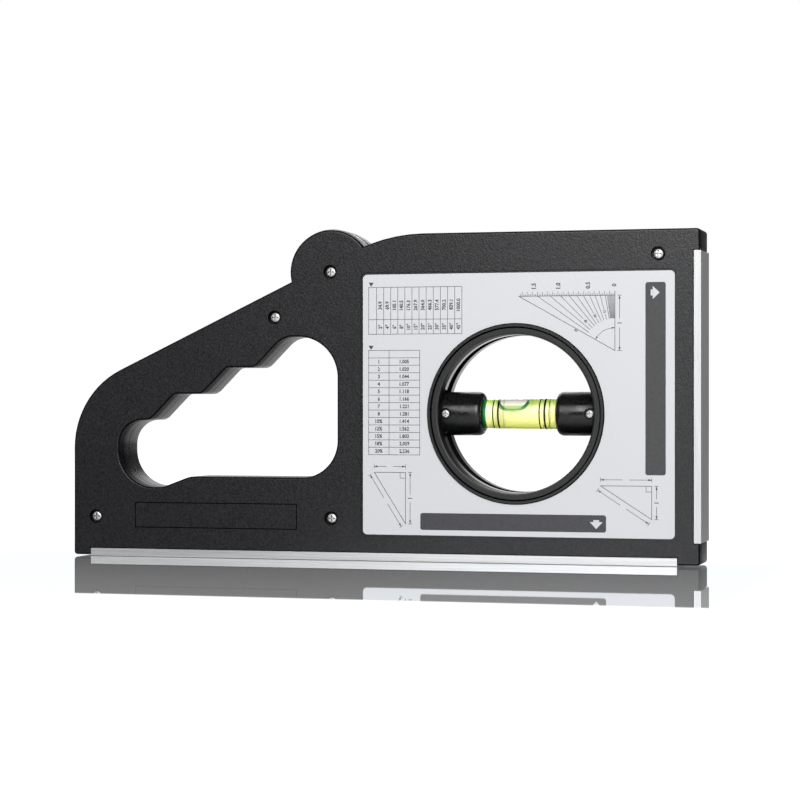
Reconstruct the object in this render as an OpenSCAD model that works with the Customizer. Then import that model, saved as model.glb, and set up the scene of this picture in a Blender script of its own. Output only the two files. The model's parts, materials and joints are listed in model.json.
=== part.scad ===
// Slope inclinometer: a framed hand instrument with a levelling vial in a geared turning ring.
// Rear (table side) faces -Y, length runs along X, +Z is up. Millimetres.
// The origin is under the middle of the instrument, on the surface it stands on.

/* [Body] */
// Length of the plastic body
body_len = 328.4; // [320:0.1:345]
// Height of the plastic body
body_h = 164.5; // [161:0.1:168]
// Thickness of the two shells together
body_t = 28; // [27:0.5:32]
// Wall of the shells
wall = 2.4; // [1.8:0.1:2.8]
// Edge rounding on the table side
rear_edge_r = 1.2; // [0.6:0.1:2]
// Edge rounding on the dial side
front_edge_r = 3; // [1:0.1:3.5]
// Depth of the fine groove where the two shells meet
seam = 0.3; // [0.1:0.1:0.5]
// Radius of the square corners of the outline
corner_r = 1.6; // [1:0.1:3]
// Radius of the heel of the handle
heel_r = 45; // [30:1:55]
// Slope of the handle's back
slope_angle = 25.4; // [22:0.1:28]
// Height of the sloping back over the wheel's axis
slope_lift = 4.65; // [3:0.05:8]
// Radius of the curved shoulder right of the wheel
shoulder_r = 84; // [62:1:100]
// Where the shoulder becomes straight, left of the ring's axis
shoulder_start = 47; // [44:1:54]

/* [Hand hole] */
// Left end of the hand hole, from the body's left side
hole_left = 25.3; // [20:0.1:28]
// Right end of the hand hole, left of the ring's axis
hole_right = 92.3; // [90:0.1:96]
// Flat bottom of the hand hole over the body's underside
hole_bottom = 41.2; // [38:0.1:46]
// Depth of the palm dip below that flat
palm_dip = 5.6; // [3:0.1:8]
// Length of the palm dip's flat bottom
palm_len = 24; // [22:0.5:28]
// Length of the ramp out of the palm dip
palm_ramp = 15; // [12:0.5:20]
// Top of the hand hole over the ring's axis
hole_top = 39.2; // [36:0.1:42]
// Height of the first finger rest over the flat bottom
finger_base = 29.1; // [26:0.1:32]
// First finger rest's corner, from the hole's left end
finger_start = 17; // [15:0.1:20]
// Straight top of the hand hole, with its right-hand corner
finger_end = 29; // [26:0.1:36]

/* [Ring] */
// Axis of the ring, from the body's right side
ring_inset = 92.1; // [90:0.1:96]
// Axis of the ring over the body's underside
ring_up = 73.8; // [73:0.1:77]
// Bore of the turning ring
ring_bore_r = 39.5; // [37:0.1:40]
// Journal of the turning ring
journal_r = 43.4; // [42.8:0.1:44.5]
// Running gap round the journal
run_gap = 0.08; // [0.05:0.01:0.1]
// Relief round the visible face of the ring
face_relief = 0.7; // [0.4:0.1:1.2]
// Rounding of the ring's inner edges
ring_edge = 1.2; // [0.5:0.1:1.5]
// Width of the raised bezel
bezel_w = 1.6; // [1.2:0.1:2.4]
// Height of the raised bezels over the faces
bezel_rise = 0.8; // [0.4:0.1:1.2]
// Wall of the collar that the ring turns in
collar_wall = 2.5; // [2:0.1:3]
// Radius of the dial opening on the front
window_view_r = 56; // [54:0.1:57]
// Width of the bezel round the dial opening
window_bezel_w = 2.5; // [2:0.1:3]
// Overlap of the window behind the front shell
window_lap = 3; // [2:0.1:3.5]
// Thickness of the dial window
window_t = 1.5; // [1:0.1:2]
// Gap round the ring where it passes through the window
hub_gap = 0.5; // [0.3:0.1:0.8]
// Thickness of the toothed dial
dial_t = 3.3; // [2.5:0.1:4]
// Gap between the dial and the pointer
dial_gap = 0.4; // [0.3:0.05:0.6]
// Thickness of the index pointer
pointer_t = 0.4; // [0.3:0.05:0.6]
// Half width of the index pointer's foot
pointer_half_w = 1.6; // [1:0.1:3]
// Radius of the flange that carries the dial
flange_r = 53; // [52:0.1:55]

/* [Vial] */
// Radius of the vial
vial_r = 7.5; // [6:0.1:7.8]
// Wall of the vial
vial_wall = 1; // [0.8:0.1:1.5]
// Length of the vial
vial_len = 54; // [50:0.5:58]
// Half length of the liquid
liquid_half = 16.9; // [15:0.1:17.5]
// Radius of the two vial sockets
socket_r = 11; // [10.5:0.1:11.5]
// Distance from the ring's axis to each socket's mouth
mouth_x = 18.8; // [17.6:0.1:20]
// Rounding of the sockets' mouths
mouth_round = 3; // [1:0.1:3.2]
// Length of the bubble
bubble_len = 16; // [12:0.5:20]
// Radius of the bubble
bubble_r = 4; // [3:0.1:4.5]
// How far the bubble's middle lies left of the ring's axis
bubble_shift = 3.1; // [0:0.1:5]
// The vial's axis, in front of the middle plane
vial_y = 2; // [1.5:0.1:2.4]
// Distance of the inner reading rings from the ring's axis
mark_x = 10.55; // [9:0.05:11]
// Distance between the reading rings of one end
mark_pitch = 2.65; // [2:0.05:3]
// Width of a reading ring
mark_w = 0.5; // [0.3:0.1:0.8]

/* [Adjusting wheel and gears] */
// Wheel axis, left of the ring's axis
wheel_left = 96; // [94:0.1:98]
// Wheel axis, over the ring's axis
wheel_up = 71.9; // [70:0.1:73]
// Radius of the lobe round the wheel
lobe_r = 21.4; // [20.8:0.1:22]
// Radius of the wheel
wheel_r = 21.9; // [21:0.1:22.3]
// Width of the wheel
wheel_w = 16; // [14:0.1:16]
// Width of the wheel's rim
rim_w = 4; // [3:0.1:5]
// Thickness of the wheel's web
wheel_web_t = 5; // [4:0.1:6]
// Play between the wheel and the shells
wheel_play = 0.3; // [0.2:0.05:0.4]
// Width of the groove round the wheel
groove_w = 2; // [1.2:0.1:3]
// Depth of the groove round the wheel
groove_depth = 0.9; // [0.5:0.1:1.2]
// Number of grip notches in the wheel's rim
grip_count = 38; // [20:1:48]
// Width of a grip notch
grip_w = 1; // [0.6:0.1:1.4]
// Radius of the wheel's sleeve
sleeve_r = 4; // [3.5:0.1:4.5]
// Radius of the wheel's hub and of its pinion's hub
hub_r = 8; // [7:0.1:9]
// Depth of the wheel's hub behind its web
hub_len = 6.8; // [5:0.1:7]
// Radius of the wheel's washers
washer_r = 6.5; // [6:0.1:7]
// Thickness of the wheel's washers
washer_t = 0.3; // [0.2:0.05:0.4]
// Teeth of the wheel's pinion
pinion_teeth = 32; // [30:2:32]
// Teeth of the idler
idler_teeth = 42; // [42:2:44]
// Teeth of the dial
dial_teeth = 124; // [122:2:126]
// Play between meshing teeth
backlash = 0.3; // [0.2:0.05:0.4]
// Radius of the idler's pin
pin_r = 1.5; // [1.2:0.1:2]
// Radius of the idler's hub
idler_hub_r = 5; // [4:0.1:6]
// Length of the idler's hub behind its teeth
idler_hub_len = 2; // [1.5:0.1:2.5]
// Radius of the idler's clip
clip_r = 3.4; // [3.2:0.1:4]
// Thickness of the idler's clip
clip_t = 0.6; // [0.4:0.1:0.8]

/* [Rails] */
// Thickness of the base rail
base_rail_t = 3.9; // [3.4:0.1:4.2]
// How far the base rail stands proud
base_proud = 0.45; // [0.2:0.05:0.8]
// Left end of the base rail, from the body's left side
base_rail_start = 9.6; // [6:0.1:14]
// Right end of the base rail, from the body's right side
base_rail_end = 11.2; // [11:0.1:20]
// Thickness of the side rail
side_rail_t = 3.45; // [3:0.05:4]
// How far the side rail stands proud
side_proud = 0.55; // [0.2:0.05:0.8]
// Lower end of the side rail over the body's underside
side_rail_start = 10.9; // [8:0.1:14]
// Upper end of the side rail, from the body's top
side_rail_end = 10.8; // [10:0.1:20]
// Gap round each rail
rail_gap = 0.5; // [0.3:0.05:0.7]
// How far each rail's web stops short of its ends
web_end = 4; // [2:0.1:6]
// Thickness of the rails' webs
web_t = 3; // [2:0.1:3.5]
// Height of the rails' webs inside the shells
web_h = 1.8; // [1.5:0.1:2]
// Width of the rails' inner flanges
foot_w = 7; // [6:0.1:8]
// Thickness of the rails' inner flanges
foot_t = 1.5; // [1.2:0.1:1.6]
// Plastic round the rails' inner flanges
rail_wall = 1.6; // [1.4:0.1:1.8]

/* [Plates] */
// Width of the table label and of the front plate
label_w = 158.4; // [150:0.1:160]
// Height of the table label and of the front plate
label_h = 131.2; // [128:0.1:132]
// The labels' middle, over the ring's axis
label_up = 4.6; // [3.6:0.1:5.6]
// The labels' middle, right of the ring's axis
label_right = 0.6; // [0:0.1:1.2]
// Thickness of the labels
label_t = 0.4; // [0.3:0.05:0.6]
// How far the labels lie under the faces
label_sink = 0.1; // [0.05:0.05:0.2]
// Corner radius of the labels
label_r = 2.2; // [1:0.1:4]
// Margin between a label and its pocket
label_margin = 1.1; // [0.6:0.1:1.4]
// Width of the bare nameplate frame
frame_w = 88.3; // [80:0.1:92]
// Height of the bare nameplate frame
frame_h = 13.3; // [10:0.1:15]
// Left end of the nameplate frame, from the body's left side
frame_left = 34.3; // [30:0.1:38]
// Nameplate frame over the body's underside
frame_up = 14.5; // [13:0.1:17]
// Width of the frame's engraved line
line_w = 0.5; // [0.3:0.1:0.8]
// Depth of the frame's engraved line
line_depth = 0.3; // [0.2:0.05:0.5]

/* [Screws] */
// Radius of the case screws' heads
head_r = 2.9; // [2.5:0.1:3]
// Height of the case screws' heads
head_h = 2.3; // [1.8:0.1:2.6]
// Radius of the case screws' shanks
shank_r = 1.5; // [1.2:0.05:1.5]
// Radius of the case screws' recesses
recess_r = 3.6; // [3.4:0.1:4]
// Depth of the case screws' recesses
recess_depth = 3.5; // [3:0.1:4]
// Radius of the screw bosses
boss_r = 5.5; // [5:0.1:6]
// Radius of the ring screws' heads
ring_head_r = 2.25; // [2:0.05:2.5]
// Height of the ring screws' heads
ring_head_h = 1.8; // [1.4:0.1:2]
// Radius of the ring screws' shanks
ring_shank_r = 1.2; // [1:0.05:1.3]
// How far the ring screws stand inside the ring's bore
ring_screw_in = 2.7; // [2.5:0.1:3]
// Radius of the dial screws' heads
dial_head_r = 1.7; // [1.5:0.1:1.8]
// Height of the dial screws' heads
dial_head_h = 1.2; // [1:0.1:1.4]
// Radius of the dial screws' shanks
dial_shank_r = 1; // [0.8:0.05:1.1]

/* [Hidden] */
$fn = 96;
// Degrees between the points of large arcs, of small arcs and of edge roundings
arc_step = 5;
small_arc_step = 22.5;
edge_step = 22.5;
small_arc_r = 4;
// Least radius of an inset corner
least_r = 0.1;
// Clearance of a running or a pushed fit
fit = 0.05;
// Clearance round a screw that passes through
screw_gap = 0.2;
// Cutters run this far past what they cut, and joined solids this far into each other
past = 1;
bite = 0.01;
// Plastic left over a blind hole
blind = 1.2;
// Slope of the bezels' flanks across their height
bezel_lean = 0.4;
// The wheel's free space all round, and how far its groove lies behind its middle
wheel_gap = 0.5;
groove_shift = 1;
// Broken edges of the wheel, flanks of its groove, and length of its grip notches
wheel_edge = 0.5;
groove_flank = 0.3;
grip_len = 2;
// Depth of the relief round the ring's visible face
relief_depth = 1.3;
// Ring screws' heads stand this far over the sockets, in recesses this much wider
ring_head_proud = 0.2;
ring_recess_gap = 0.75;
// Dial screws' heads lie this far under the flange, and stop this far behind the dial's face
dial_head_sink = 0.4;
dial_screw_stop = 0.8;
// Margin of the pointer at both ends, and half the width of its tip
pointer_margin = 1;
pointer_tip = 0.25;
// Depth of the idler's pin in the rear shell, and the wall of its boss in the front shell
pin_depth = 4.8;
pin_wall = 2;
// The vial's plugs end this far inside it, and its reading rings are this thick
plug_sink = 1;
mark_t = 0.1;

// Main planes across the thickness
face_y = body_t / 2;
inner_y = face_y - wall;
window_y = inner_y - window_t;
pointer_y = window_y - pointer_t;
dial_face_y = pointer_y - dial_gap;
dial_back_y = dial_face_y - dial_t;
collar_end_y = vial_y - wheel_play;

// Body box
span = body_len + side_proud;
left_x = -span / 2;
right_x = left_x + body_len;
bottom_z = base_proud;
top_z = bottom_z + body_h;

// Axes
ring_x = right_x - ring_inset;
ring_z = bottom_z + ring_up;
wheel_x = ring_x - wheel_left;
wheel_z = ring_z + wheel_up;
wheel_c = [wheel_x, wheel_z];

// Gears: the idler stands on the line between the wheel's axis and the ring's
tooth_rise = 0.85;
tooth_root = 1.15;
flank_angle = 20;
axis_dist = norm([wheel_left, wheel_up]);
axis_angle = atan2(wheel_up, -wheel_left);
tooth_m = 2 * axis_dist / (pinion_teeth + 2 * idler_teeth + dial_teeth);
idler_dist = tooth_m * (dial_teeth + idler_teeth) / 2;
idler_x = ring_x + idler_dist * cos(axis_angle);
idler_z = ring_z + idler_dist * sin(axis_angle);

// Ring and windows
bore_face_r = journal_r + run_gap;
bezel_r = bore_face_r + bezel_w;
collar_r = bore_face_r + collar_wall;
window_r = window_view_r + window_lap;
front_bezel_r = window_view_r + window_bezel_w;
ring_screw_x = ring_bore_r - ring_screw_in;
ring_seat_y = vial_y - socket_r + ring_head_h - ring_head_proud;
ring_screw_len = dial_face_y - ring_seat_y;
dial_screw_r = (journal_r + flange_r) / 2;
dial_seat_y = vial_y + dial_head_h + dial_head_sink;

// Wheel
wheel_y0 = -inner_y + 2 * wheel_play;
wheel_y1 = wheel_y0 + wheel_w;
web_y = wheel_y1 - wheel_web_t;
hub_y0 = web_y - hub_len;
sleeve_y0 = hub_y0 - fit - washer_t;
sleeve_y1 = dial_face_y + screw_gap + washer_t;
pocket_r = max(wheel_r, lobe_r) + wheel_gap;
clip_y1 = dial_back_y - idler_hub_len - screw_gap;
pin_y0 = -pin_depth;

// Rails and the solid plastic round their inner flanges
base_x = left_x + base_rail_start;
side_x = left_x + span - side_rail_t;
side_z = bottom_z + side_rail_start;
base_rail_len = body_len - base_rail_start - base_rail_end;
side_rail_len = body_h - side_rail_start - side_rail_end;
rail_depth = rail_gap + web_h + foot_t;
base_block_z = base_rail_t + rail_depth + rail_wall;
side_block_x = side_x - rail_depth - rail_wall;

// Case screws: [x, z], with the wheel's screw first
screw_spots = [wheel_c,
    wheel_c - [29.7, 22.8],
    [left_x + 12.4, bottom_z + 20.1],
    [wheel_x + 0.5, bottom_z + 20.6],
    [right_x - 20.5, top_z - 12.2],
    [right_x - 18.6, bottom_z + 18.3]];
case_seat_y = -face_y + recess_depth;

// ---------- Outlines as chains of arcs ----------
// An arc is [centre, radius, start angle, end angle]; a hollow corner has a negative radius.
function dir(a) = [cos(a), sin(a)];
function flat(p) = [p[0], p[1]];
function unit(v) = v / norm(v);
function arc_points(a, inset) =
    let (bend = sign(a[1]), r = abs(a[1]) - bend * inset, sweep = abs(a[3] - a[2]),
        steps = ceil(sweep / (abs(a[1]) < small_arc_r ? small_arc_step : arc_step)),
        over = max(0, least_r - r),
        c = over > 0 && sweep < 170 ? a[0] - bend * dir((a[2] + a[3]) / 2) * over / cos(sweep / 2) : a[0])
    [for (k = [0:steps]) c + max(r, least_r) * dir(a[2] + (a[3] - a[2]) * k / steps)];
function chain(arcs, inset = 0) = [for (a = arcs) each arc_points(a, inset)];

// Fillets a polygon of [x, z, radius]; two fillets that meet on a short edge shrink together
function turn_at(a, b, c) =
    let (u = unit(flat(b) - flat(a)), w = unit(flat(c) - flat(b))) atan2(cross(u, w), u * w);
function corner_arc(a, b, c, room) =
    let (u = unit(flat(b) - flat(a)), turn = turn_at(a, b, c), bend = sign(turn), r = b[2] * room,
        touch = flat(b) - u * r * tan(abs(turn) / 2), start = atan2(u.y, u.x) - bend * 90)
    [touch + bend * r * [-u.y, u.x], bend * r, start, start + turn];
function corner_arcs(v) =
    let (n = len(v), before = [for (i = [0:n - 1]) v[(i + n - 1) % n]],
        after = [for (i = [0:n - 1]) v[(i + 1) % n]],
        reach = [for (i = [0:n - 1]) v[i][2] * tan(abs(turn_at(before[i], v[i], after[i])) / 2)],
        room = [for (i = [0:n - 1])
            min(1, 0.98 * norm(flat(after[i]) - flat(v[i])) / (reach[i] + reach[(i + 1) % n]))])
    [for (i = [0:n - 1]) corner_arc(before[i], v[i], after[i], min(room[i], room[(i + n - 1) % n]))];

// The body is a handle, a lobe round the wheel and a block round the ring. Handle and block
// overlap under the lobe, and both run anticlockwise from their lower left corner.
overlap = 10;
slope_n = dir(slope_angle + 90);
function under_slope(x, r) = [x, (slope_n * wheel_c + slope_lift - r - slope_n.x * x) / slope_n.y];
handle_arcs = [
    [[left_x + corner_r, bottom_z + corner_r], corner_r, 180, 270],
    [[wheel_x + overlap, bottom_z + corner_r], corner_r, 270, 360],
    [under_slope(wheel_x + overlap, corner_r), corner_r, 0, slope_angle + 90],
    [under_slope(left_x + heel_r, heel_r), heel_r, slope_angle + 90, 180]];
shoulder_c = [ring_x - shoulder_start, top_z - shoulder_r];
block_arcs = [
    [[wheel_x - overlap + corner_r, bottom_z + corner_r], corner_r, 180, 270],
    [[right_x - corner_r, bottom_z + corner_r], corner_r, 270, 360],
    [[right_x - corner_r, top_z - corner_r], corner_r, 0, 90],
    [shoulder_c, shoulder_r, 90, acos((wheel_x - overlap - shoulder_c.x) / shoulder_r)]];

// Hand hole, anticlockwise from its lower left corner: [x, z, corner radius]
hole_x0 = left_x + hole_left;
hole_x1 = ring_x - hole_right;
hole_z0 = bottom_z + hole_bottom;
hole_z1 = ring_z + hole_top;
palm_z = hole_z0 - palm_dip;
// Three finger steps share the way up to the hole's top; the last is a little taller, and
// each is part ramp and part flat
last_share = 1.15;
ramp_share = 0.47;
finger_x = hole_x0 + finger_start;
finger_z = hole_z0 + finger_base;
finger_rise = (hole_z1 - finger_z) / (2 + last_share);
finger_pitch = (hole_x1 - finger_end - finger_x) / (2 + ramp_share * last_share);
finger_run = ramp_share * finger_pitch;
last_run = last_share * finger_run;
end_r = 19;
top_r = 21;
blend_r = 13;
valley_r = 6;
crest_r = 4;
hole_arcs = corner_arcs([
    [hole_x0, palm_z, end_r],
    [hole_x0 + palm_len, palm_z, 9],
    [hole_x0 + palm_len + palm_ramp, hole_z0, 12],
    [hole_x1, hole_z0, end_r],
    [hole_x1, hole_z1, top_r],
    [finger_x + 2 * finger_pitch + last_run, hole_z1, blend_r],
    [finger_x + 2 * finger_pitch, finger_z + 2 * finger_rise, valley_r],
    [finger_x + finger_pitch + finger_run, finger_z + 2 * finger_rise, crest_r],
    [finger_x + finger_pitch, finger_z + finger_rise, valley_r],
    [finger_x + finger_run, finger_z + finger_rise, crest_r],
    [finger_x, finger_z, valley_r],
    [hole_x0, finger_z, blend_r]]);

// ---------- Shared shapes ----------
// Extrudes a drawing in X and Z from one depth to another
module slab(y0, y1) {
    translate([0, y1, 0]) rotate([90, 0, 0]) linear_extrude(y1 - y0) children();
}

// A round bar along Y
module bar(r, y0, y1, x = 0, z = 0) {
    translate([x, y1, z]) rotate([90, 0, 0]) cylinder(r = r, h = y1 - y0);
}

module tube(r_out, r_in, y0, y1, x = 0, z = 0) {
    difference() {
        bar(r_out, y0, y1, x, z);
        bar(r_in, y0 - past, y1 + past, x, z);
    }
}

// A round bar along X
module cross_bar(r, x0, x1) {
    translate([x0, 0, 0]) rotate([0, 90, 0]) cylinder(r = r, h = x1 - x0);
}

// A solid of revolution about Y through [x, z]; the profile holds [radius, y]
module turned(profile, x = 0, z = 0) {
    translate([x, 0, z]) rotate([90, 0, 0]) mirror([0, 0, 1]) rotate_extrude() polygon(profile);
}

// Skins a chain of arcs through several depths; a level is [inset, y], from -Y to +Y
module skin(arcs, levels) {
    count = len(chain(arcs));
    last = len(levels) - 1;
    points = [for (l = levels) for (p = chain(arcs, l[0])) [p.x, l[1], p.y]];
    sides = [for (k = [0:last - 1]) for (i = [0:count - 1])
        let (a = k * count + i, b = k * count + (i + 1) % count) [a, b, b + count, a + count]];
    rear_cap = [for (i = [count - 1:-1:0]) i];
    front_cap = [for (i = [0:count - 1]) last * count + i];
    polyhedron(points, concat([rear_cap, front_cap], sides), convexity = 12);
}

// Levels of a rounded edge, from the face inwards; side is -1 at the rear and 1 at the front,
// and grow is 1 for a solid and -1 for the hole that cuts it
function edge_r(side) = side < 0 ? rear_edge_r : front_edge_r;
function edge_levels(side, grow) =
    let (r = edge_r(side)) [for (t = [0:edge_step:90])
        [grow * r * (1 - sin(t)), side * (face_y - r * (1 - cos(t)))]];
function reversed(v) = [for (i = [len(v) - 1:-1:0]) v[i]];
function from_rear(levels, side) = side < 0 ? levels : reversed(levels);

// Levels of one shell's edge from its face to the groove where the shells meet, and past it
function shell_levels(side, grow) = concat(edge_levels(side, grow),
    [[0, side * seam], [grow * seam, 0], [grow * seam, -side * past]]);

// The outer shape of one shell, up to the plane where the shells meet
module body_half(side) {
    levels = shell_levels(side, 1);
    lobe_side = [for (l = reversed(levels)) [lobe_r - l[0], l[1]]];
    difference() {
        union() {
            for (arcs = [handle_arcs, block_arcs])
                skin(arcs, from_rear(levels, side));
            turned(concat([[0, -side * past]], lobe_side, [[0, side * face_y]]), wheel_x, wheel_z);
        }
        slab(min(0, -2 * past * side), max(0, -2 * past * side)) translate([left_x - past, 0])
            square([span + 2 * past, max(top_z, wheel_z + lobe_r) + past]);
    }
}

module hole_cut(side) {
    outer = [[-edge_r(side), side * (face_y + past)]];
    skin(hole_arcs, from_rear(concat(outer, shell_levels(side, -1)), side));
}

// Space inside the shells
module cavity() {
    difference() {
        union() {
            polygon(chain(handle_arcs, wall));
            polygon(chain(block_arcs, wall));
            translate(wheel_c) circle(lobe_r - wall);
        }
        polygon(chain(hole_arcs, -wall));
        translate([left_x, 0]) square([span, base_block_z]);
        translate([side_block_x, 0]) square([span, top_z]);
    }
}

// A rail's cross-section, drawn outer face down with its middle at x = 0; slack widens it for
// the shells' slot, where the bar's own rebate is wider still
module rail_section(bar_t, slack) {
    if (slack == 0) translate([-face_y, 0]) square([body_t, bar_t]);
    else translate([-body_t, -past]) square([2 * body_t, bar_t + rail_gap + past]);
}

module rail_web(bar_t, slack) {
    translate([-web_t / 2 - slack, bar_t - bite]) square([web_t + 2 * slack, rail_gap + web_h + 2 * bite]);
    translate([-foot_w / 2 - slack, bar_t + rail_gap + web_h])
        square([foot_w + 2 * slack, foot_t + slack]);
}

// A rail lying along X from x = 0
module rail(len, bar_t, slack = 0) {
    ends = slack == 0 ? 0 : rail_gap;
    rotate([90, 0, 90]) {
        translate([0, 0, -ends]) linear_extrude(len + 2 * ends) rail_section(bar_t, slack);
        translate([0, 0, web_end - slack]) linear_extrude(len - 2 * web_end + 2 * slack)
            rail_web(bar_t, slack);
    }
}

module base_rail_at(slack = 0) {
    translate([base_x, 0, 0]) rail(base_rail_len, base_rail_t, slack);
}

module side_rail_at(slack = 0) {
    translate([left_x + span, 0, side_z]) rotate([0, -90, 0]) rail(side_rail_len, side_rail_t, slack);
}

module label_shape(margin, hole_r) {
    w = label_w + 2 * margin;
    h = label_h + 2 * margin;
    r = label_r + margin / 2;
    difference() {
        translate([ring_x + label_right, ring_z + label_up]) {
            square([w - 2 * r, h], center = true);
            square([w, h - 2 * r], center = true);
            for (sx = [-1, 1], sz = [-1, 1])
                translate([sx * (w / 2 - r), sz * (h / 2 - r)]) circle(r);
        }
        translate([ring_x, ring_z]) circle(hole_r);
    }
}

// Cross-recessed pan screw pointing to +Y, with its seat at y = 0
module pan_screw(r, h, shank, length) {
    difference() {
        union() {
            turned([[0, -h], [r * 0.45, -h], [r * 0.8, -h * 0.82], [r, -h * 0.45], [r, 0], [0, 0]]);
            bar(shank, 0, length);
        }
        for (turn = [0, 90]) rotate([0, turn, 0])
            translate([-r * 0.6, -h - past, -r * 0.13]) cube([r * 1.2, h * 0.6 + past, r * 0.26]);
    }
}

// Spur gear with straight flanks and a tooth in the direction of turn; its hub stands behind it
module gear_shape(teeth) {
    pitch_r = tooth_m * teeth / 2;
    half = (PI * tooth_m - backlash) / 4;
    tip = [pitch_r + tooth_rise * tooth_m, half - tooth_rise * tooth_m * tan(flank_angle)];
    root = [pitch_r - tooth_root * tooth_m,
        min(half + tooth_root * tooth_m * tan(flank_angle), PI * tooth_m * 0.45)];
    polygon([for (i = [0:teeth - 1])
        for (s = [[root, -1], [tip, -1], [tip, 1], [root, 1]])
            s[0][0] * dir(360 * i / teeth + s[1] * s[0][1] / pitch_r * 180 / PI)]);
}

module gear(teeth, bore_r, x, z, turn, hub = 0, hub_len = 0) {
    difference() {
        union() {
            translate([x, 0, z]) slab(dial_back_y, dial_face_y) rotate(turn) gear_shape(teeth);
            if (hub_len > 0) bar(hub, dial_back_y - hub_len, (dial_back_y + dial_face_y) / 2, x, z);
        }
        bar(bore_r, dial_back_y - hub_len - past, dial_face_y + past, x, z);
    }
}

// ---------- Shells ----------
module rear_bosses() {
    for (p = concat([for (i = [1:len(screw_spots) - 1]) screw_spots[i]], [[idler_x, idler_z]]))
        bar(boss_r, -face_y, past, p.x, p.y);
}

module front_bosses() {
    for (i = [1:len(screw_spots) - 1]) bar(boss_r, -past, face_y, screw_spots[i].x, screw_spots[i].y);
}

// A raised bezel on one face
module bezel(r, side) {
    turned([[0, side * inner_y], [r, side * inner_y], [r, side * face_y],
        [r - bezel_lean, side * (face_y + bezel_rise)], [0, side * (face_y + bezel_rise)]],
        ring_x, ring_z);
}

module label_pocket(side, hole_r) {
    floor_y = face_y - label_t - label_sink;
    slab(side < 0 ? -face_y - past : floor_y, side < 0 ? -floor_y : face_y + past)
        label_shape(label_margin, hole_r);
}

// A plain engraved frame where a nameplate could go
module nameplate_groove() {
    slab(-face_y - past, -face_y + line_depth)
        translate([left_x + frame_left, bottom_z + frame_up]) difference() {
            square([frame_w, frame_h]);
            translate([line_w, line_w]) square([frame_w - 2 * line_w, frame_h - 2 * line_w]);
        }
}

module rear_housing() color([0.18, 0.18, 0.19]) difference() {
    union() {
        difference() {
            body_half(-1);
            difference() {
                slab(-inner_y, past) cavity();
                bar(collar_r, -face_y, 2 * past, ring_x, ring_z);
                rear_bosses();
            }
            bar(pocket_r, wheel_y0 - wheel_play, past, wheel_x, wheel_z);
        }
        bar(boss_r, -inner_y - bite, sleeve_y0, wheel_x, wheel_z);
        bar(collar_r, -inner_y, collar_end_y, ring_x, ring_z);
        bezel(bezel_r, -1);
    }
    bar(bore_face_r, -body_t, body_t, ring_x, ring_z);
    hole_cut(-1);
    base_rail_at(fit);
    side_rail_at(fit);
    label_pocket(-1, bezel_r);
    for (p = screw_spots) {
        bar(recess_r, -face_y - past, case_seat_y, p.x, p.y);
        bar(shank_r + screw_gap, -face_y, past, p.x, p.y);
    }
    bar(pin_r + fit, pin_y0, past, idler_x, idler_z);
    nameplate_groove();
}

module front_housing() color([0.18, 0.18, 0.19]) difference() {
    union() {
        difference() {
            body_half(1);
            difference() {
                slab(-past, inner_y) cavity();
                front_bosses();
            }
            bar(pocket_r, -past, wheel_y1 + wheel_play, wheel_x, wheel_z);
        }
        bar(boss_r, sleeve_y1, inner_y + bite, wheel_x, wheel_z);
        bar(pin_r + pin_wall, dial_face_y + wheel_play, inner_y + bite, idler_x, idler_z);
        bezel(front_bezel_r, 1);
    }
    bar(window_view_r, -past, body_t, ring_x, ring_z);
    hole_cut(1);
    base_rail_at(fit);
    side_rail_at(fit);
    label_pocket(1, front_bezel_r);
    for (i = [1:len(screw_spots) - 1])
        bar(shank_r + fit, -past, inner_y - blind, screw_spots[i].x, screw_spots[i].y);
    bar(shank_r + fit, sleeve_y1 - past, face_y - blind, wheel_x, wheel_z);
    bar(pin_r + fit, 0, face_y - blind, idler_x, idler_z);
}

// ---------- Rails and plates ----------
module base_rail() color([0.8, 0.81, 0.82]) base_rail_at();

module side_rail() color([0.8, 0.81, 0.82]) side_rail_at();

module table_label() color([0.87, 0.88, 0.9]) {
    slab(-face_y + label_sink, -face_y + label_sink + label_t) label_shape(0, bezel_r + label_sink);
}

module front_plate() color([0.87, 0.88, 0.9]) {
    slab(face_y - label_sink - label_t, face_y - label_sink) label_shape(0, front_bezel_r + label_sink);
}

module dial_window() color([0.9, 0.95, 1, 0.3]) {
    tube(window_r, journal_r + hub_gap, window_y, inner_y, ring_x, ring_z);
}

module index_pointer() color([0.8, 0.1, 0.08]) {
    point_r = journal_r + hub_gap + pointer_margin;
    foot_r = window_r - pointer_margin;
    slab(pointer_y, window_y) translate([ring_x, ring_z])
        polygon([[-pointer_tip, point_r], [pointer_tip, point_r],
            [pointer_half_w, foot_r], [-pointer_half_w, foot_r]]);
}

module case_screws() color([0.75, 0.76, 0.78]) {
    for (i = [0:len(screw_spots) - 1]) {
        end_y = (i == 0 ? face_y : inner_y) - blind - screw_gap;
        translate([screw_spots[i].x, case_seat_y, screw_spots[i].y])
            pan_screw(head_r, head_h, shank_r, end_y - case_seat_y);
    }
}

// ---------- Turning ring ----------
// The two sockets that hold the vial, across the ring's bore and into its wall
module sockets() {
    root_x = (ring_bore_r + journal_r) / 2;
    mouth = [for (t = [0:22.5:90])
        [socket_r - mouth_round * (1 - sin(t)), mouth_x + mouth_round * (1 - cos(t))]];
    intersection() {
        for (s = [0, 180]) translate([ring_x, vial_y, ring_z]) rotate([0, 90 + s, 0])
            rotate_extrude() polygon(concat([[0, root_x], [0, mouth_x]], mouth, [[socket_r, root_x]]));
        bar(root_x, -body_t, body_t, ring_x, ring_z);
    }
}

module vial_bore() {
    translate([ring_x, vial_y, ring_z]) cross_bar(vial_r + fit, -vial_len / 2 - fit, vial_len / 2 + fit);
}

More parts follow.
